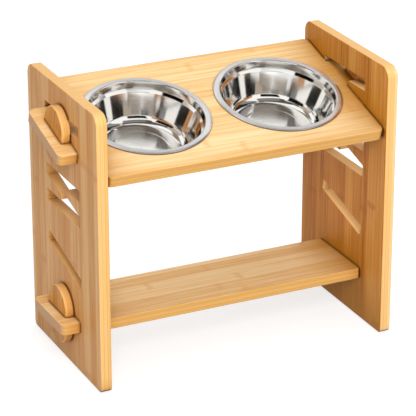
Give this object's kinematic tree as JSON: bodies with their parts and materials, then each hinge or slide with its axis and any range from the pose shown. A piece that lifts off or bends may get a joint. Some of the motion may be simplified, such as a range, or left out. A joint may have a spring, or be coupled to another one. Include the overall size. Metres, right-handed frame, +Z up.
{
  "type": "elevated pet bowl stand",
  "caption": "Raised bamboo pet feeder: slotted side panels carry a tilted tray with drop-in steel bowls and a low shelf, locked by keyed through tenons.",
  "frame": {"origin": "on the floor, under the middle of the stand", "axes": "+X from the left panel to the right one, +Y from front to back, +Z up; the tray slopes down towards -Y"},
  "size_m": [0.472, 0.228, 0.376],
  "materials": {
    "bamboo": "satin clear-coated laminated bamboo",
    "stainless_steel": "polished inside, satin rim",
    "rubber": "matt"
  },
  "bodies": {
    "stand": {"left_side_panel": "bamboo", "right_side_panel": "bamboo", "bowl_tray": "bamboo", "lower_shelf": "bamboo", "foot_pad_left_front": "rubber", "foot_pad_left_back": "rubber", "foot_pad_right_front": "rubber", "foot_pad_right_back": "rubber"},
    "bowl_left": {"bowl_left": "stainless_steel"},
    "bowl_right": {"bowl_right": "stainless_steel"},
    "tray_key_left": {"tray_key_left": "bamboo"},
    "tray_key_right": {"tray_key_right": "bamboo"},
    "shelf_key_left": {"shelf_key_left": "bamboo"},
    "shelf_key_right": {"shelf_key_right": "bamboo"}
  },
  "joints": [
    {"name": "bowl_left_lift", "type": "slide", "parent": "stand", "child": "bowl_left", "axis": [0, -0.2588, 0.9659], "range_m": [0, 0.1]},
    {"name": "bowl_right_lift", "type": "slide", "parent": "stand", "child": "bowl_right", "axis": [0, -0.2588, 0.9659], "range_m": [0, 0.1]},
    {"name": "tray_key_left_draw", "type": "slide", "parent": "stand", "child": "tray_key_left", "axis": [0, -0.2588, 0.9659], "range_m": [0, 0.05]},
    {"name": "tray_key_right_draw", "type": "slide", "parent": "stand", "child": "tray_key_right", "axis": [0, -0.2588, 0.9659], "range_m": [0, 0.05]},
    {"name": "shelf_key_left_draw", "type": "slide", "parent": "stand", "child": "shelf_key_left", "axis": [0, 0, 1], "range_m": [0, 0.05]},
    {"name": "shelf_key_right_draw", "type": "slide", "parent": "stand", "child": "shelf_key_right", "axis": [0, 0, 1], "range_m": [0, 0.05]}
  ]
}
